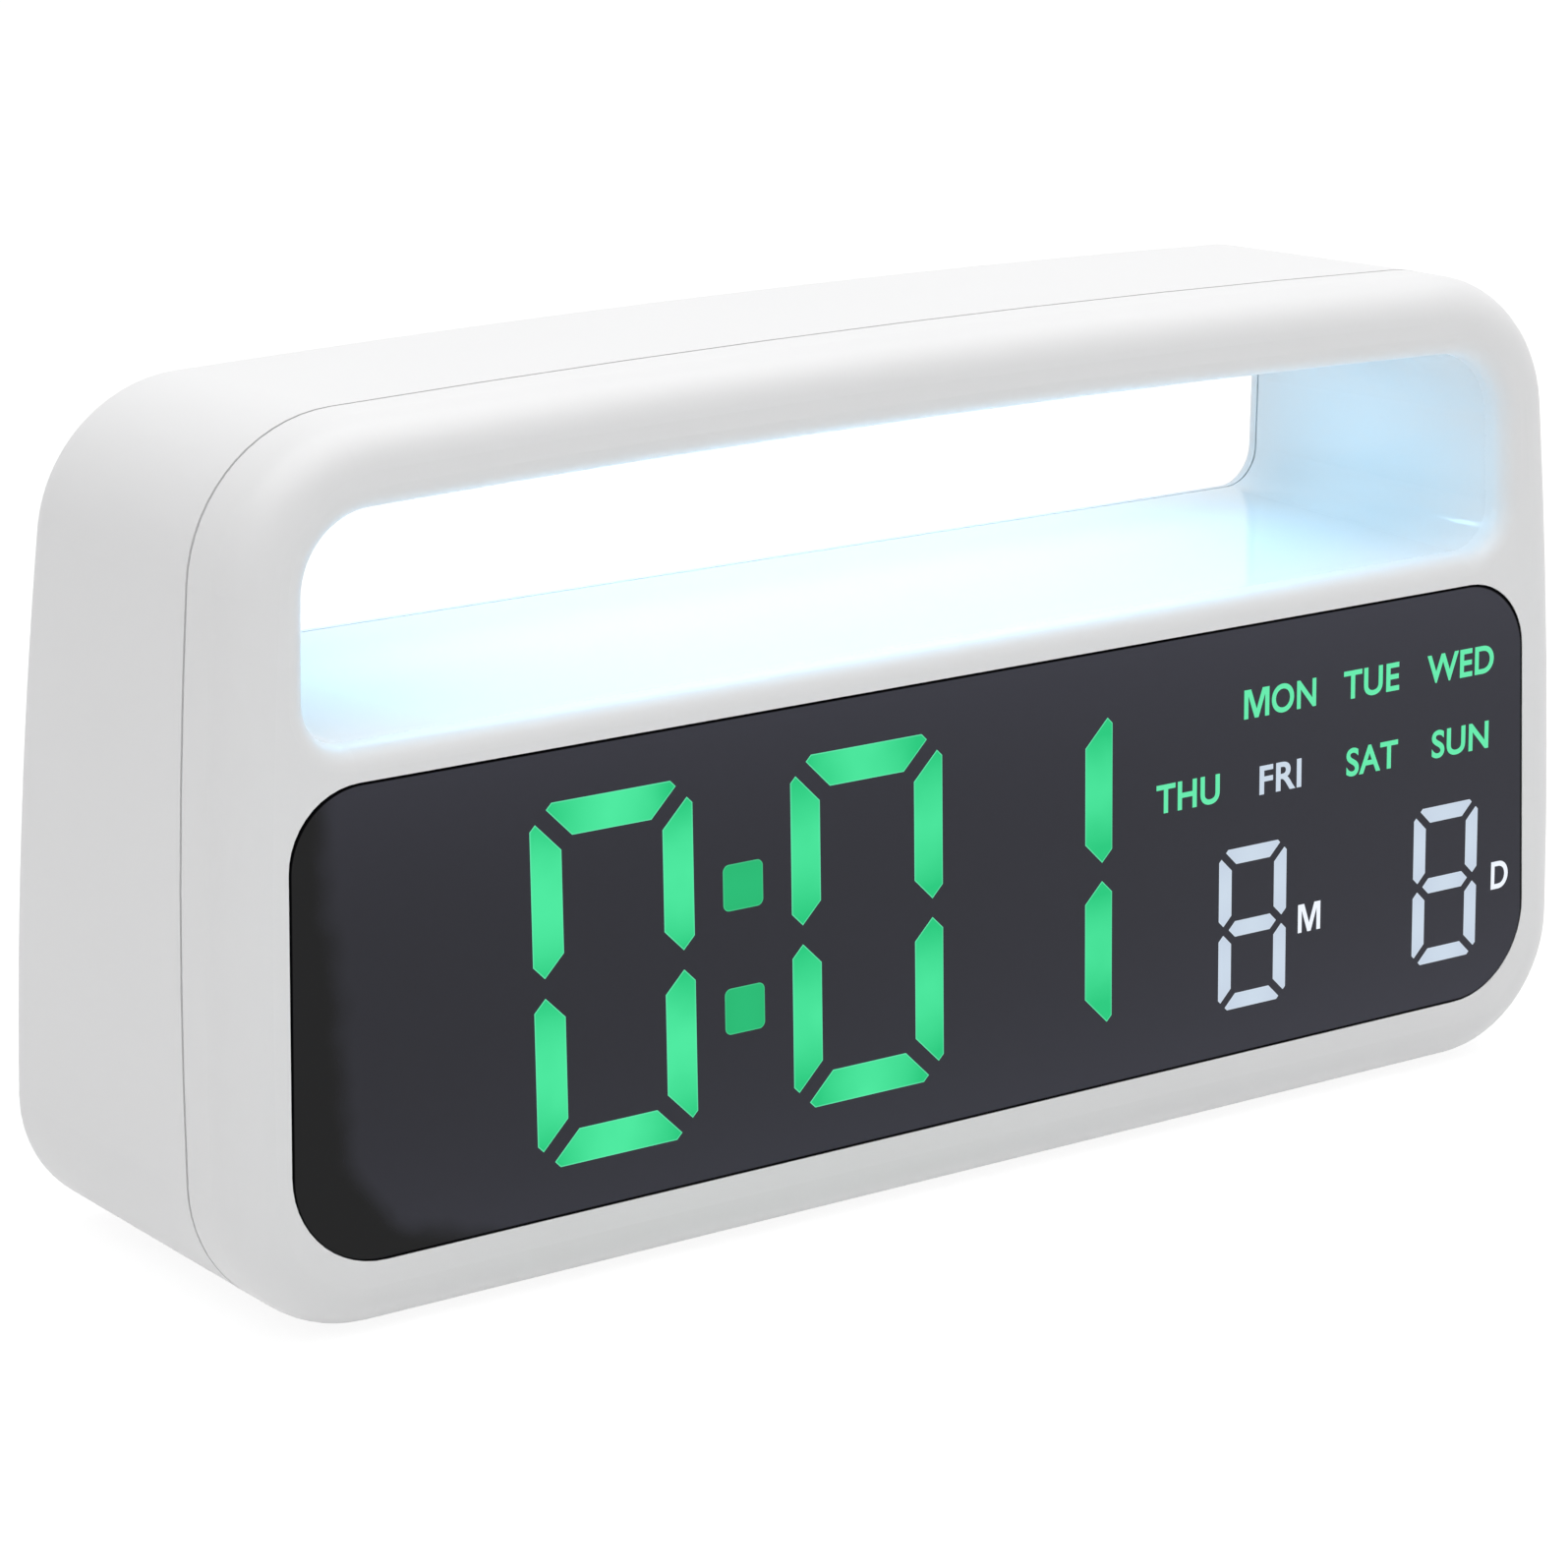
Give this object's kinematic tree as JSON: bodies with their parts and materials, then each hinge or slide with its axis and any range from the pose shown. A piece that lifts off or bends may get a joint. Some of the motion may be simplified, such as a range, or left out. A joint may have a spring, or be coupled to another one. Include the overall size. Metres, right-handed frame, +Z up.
{
  "type": "calendar alarm clock",
  "caption": "White table alarm clock with a wide black display for time, weekday and date under a carry handle whose tunnel glows as a night light; buttons and battery door at the back.",
  "frame": {"origin": "bottom centre of the clock, on the surface that the feet stand on", "axes": "+X to the viewer's right, +Y to the back, +Z up; the display faces -Y"},
  "size_m": [0.1928, 0.0566, 0.1023],
  "materials": {
    "white_shell": "satin moulded white, glossy inside the tunnel",
    "button_white": "satin moulded white",
    "black_panel": "polished black",
    "smoked_guide": "polished dark light guide, off",
    "green_light": "lit green light guide",
    "pale_light": "lit pale light guide",
    "white_inner": "matt white reflector",
    "green_board": "lacquered circuit board",
    "lamp_body": "clear resin lamp",
    "black_plastic": "matt black moulding",
    "cell_can": "plain wrapped cell",
    "bright_contact": "plated spring steel",
    "foot_rubber": "soft grey rubber",
    "screw_steel": "zinc plated",
    "frosted_strip": "frosted light strip, lit cool white",
    "lead_jacket": "flexible white jacket"
  },
  "bodies": {
    "clock_body": {"front_shell": "white_shell", "rear_shell": "white_shell", "display_panel": "black_panel", "hours_segments": "green_light", "minutes_tens_segments": "green_light", "minutes_units_segments": "green_light", "colon_dots": "green_light", "month_segments": "pale_light", "day_segments": "pale_light", "unlit_segments": "smoked_guide", "light_box": "white_inner", "display_board": "green_board", "main_board": "green_board", "night_light_board": "green_board", "display_leds": "lamp_body", "night_light_leds": "lamp_body", "tact_switches": "black_plastic", "board_header": "black_plastic", "power_jack": "black_plastic", "buzzer": "black_plastic", "backup_cells": "cell_can", "battery_contacts": "bright_contact", "rubber_feet": "foot_rubber", "case_screws": "screw_steel", "board_screws": "screw_steel", "night_light_diffuser": "frosted_strip", "night_light_lead": "lead_jacket"},
    "battery_door": {"battery_door": "white_shell"},
    "set_button": {"set_button": "button_white"},
    "up_button": {"up_button": "button_white"},
    "down_button": {"down_button": "button_white"},
    "alarm_button": {"alarm_button": "button_white"},
    "light_button": {"light_button": "button_white"}
  },
  "joints": [
    {"name": "set_button_press", "type": "slide", "parent": "clock_body", "child": "set_button", "axis": [0, -1, 0], "range_m": [0, 0.0008], "stiffness_N_per_m": 2000},
    {"name": "up_button_press", "type": "slide", "parent": "clock_body", "child": "up_button", "axis": [0, -1, 0], "range_m": [0, 0.0008], "stiffness_N_per_m": 2000},
    {"name": "down_button_press", "type": "slide", "parent": "clock_body", "child": "down_button", "axis": [0, -1, 0], "range_m": [0, 0.0008], "stiffness_N_per_m": 2000},
    {"name": "alarm_button_press", "type": "slide", "parent": "clock_body", "child": "alarm_button", "axis": [0, -1, 0], "range_m": [0, 0.0008], "stiffness_N_per_m": 2000},
    {"name": "light_button_press", "type": "slide", "parent": "clock_body", "child": "light_button", "axis": [0, -1, 0], "range_m": [0, 0.0008], "stiffness_N_per_m": 2000},
    {"name": "battery_door_lift", "type": "slide", "parent": "clock_body", "child": "battery_door", "axis": [0, 0.9957, 0.0924], "range_m": [0, 0.02]}
  ]
}
